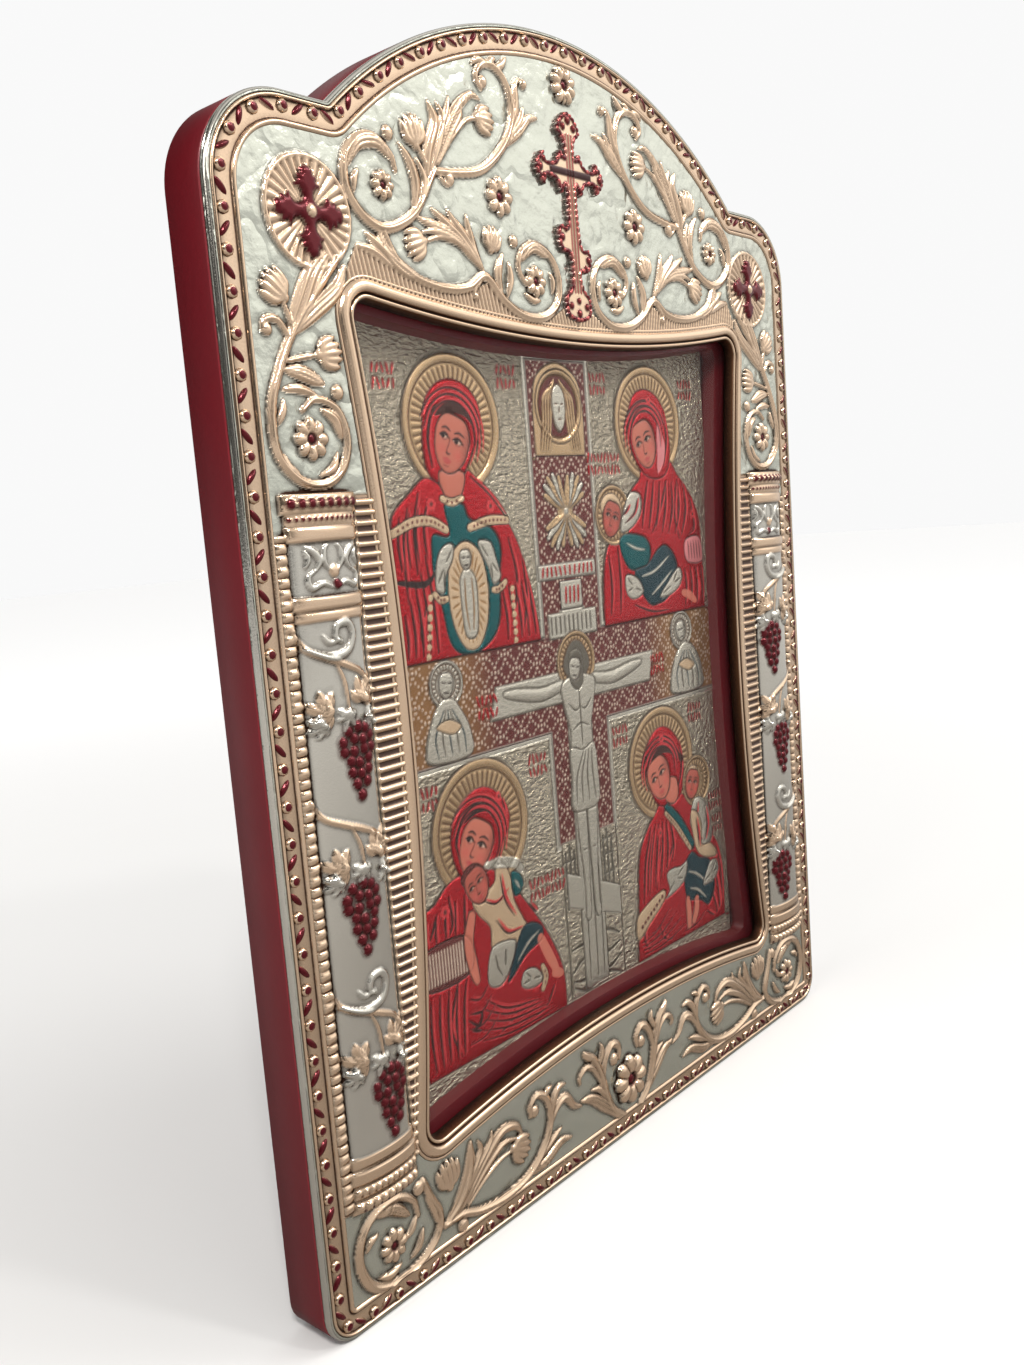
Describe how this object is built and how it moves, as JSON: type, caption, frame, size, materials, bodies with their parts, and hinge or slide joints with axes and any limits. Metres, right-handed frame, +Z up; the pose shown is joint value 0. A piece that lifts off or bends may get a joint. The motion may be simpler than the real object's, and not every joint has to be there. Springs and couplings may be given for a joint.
{
  "type": "enamel icon",
  "caption": "Arched standing icon: red-painted board, embossed silver and gilt cover with a glazed bowed window, and an enamelled relief plate inside.",
  "frame": {"origin": "middle of the board's underside: halfway between the sides and halfway through the board's thickness", "axes": "+Z up, +X to the right as seen from the front, and the front faces -Y"},
  "size_m": [0.2, 0.0158, 0.262],
  "materials": {
    "board": "satin deep red paint",
    "cover": "embossed silver field with pale gilt ornament and burgundy enamel",
    "glass": "clear pane",
    "icon_plate": "pebbled silver ground with red, teal and flesh enamel and gilt haloes"
  },
  "bodies": {
    "root": {"board": "board", "cover": "cover", "glass": "glass", "icon_plate": "icon_plate"}
  },
  "joints": []
}
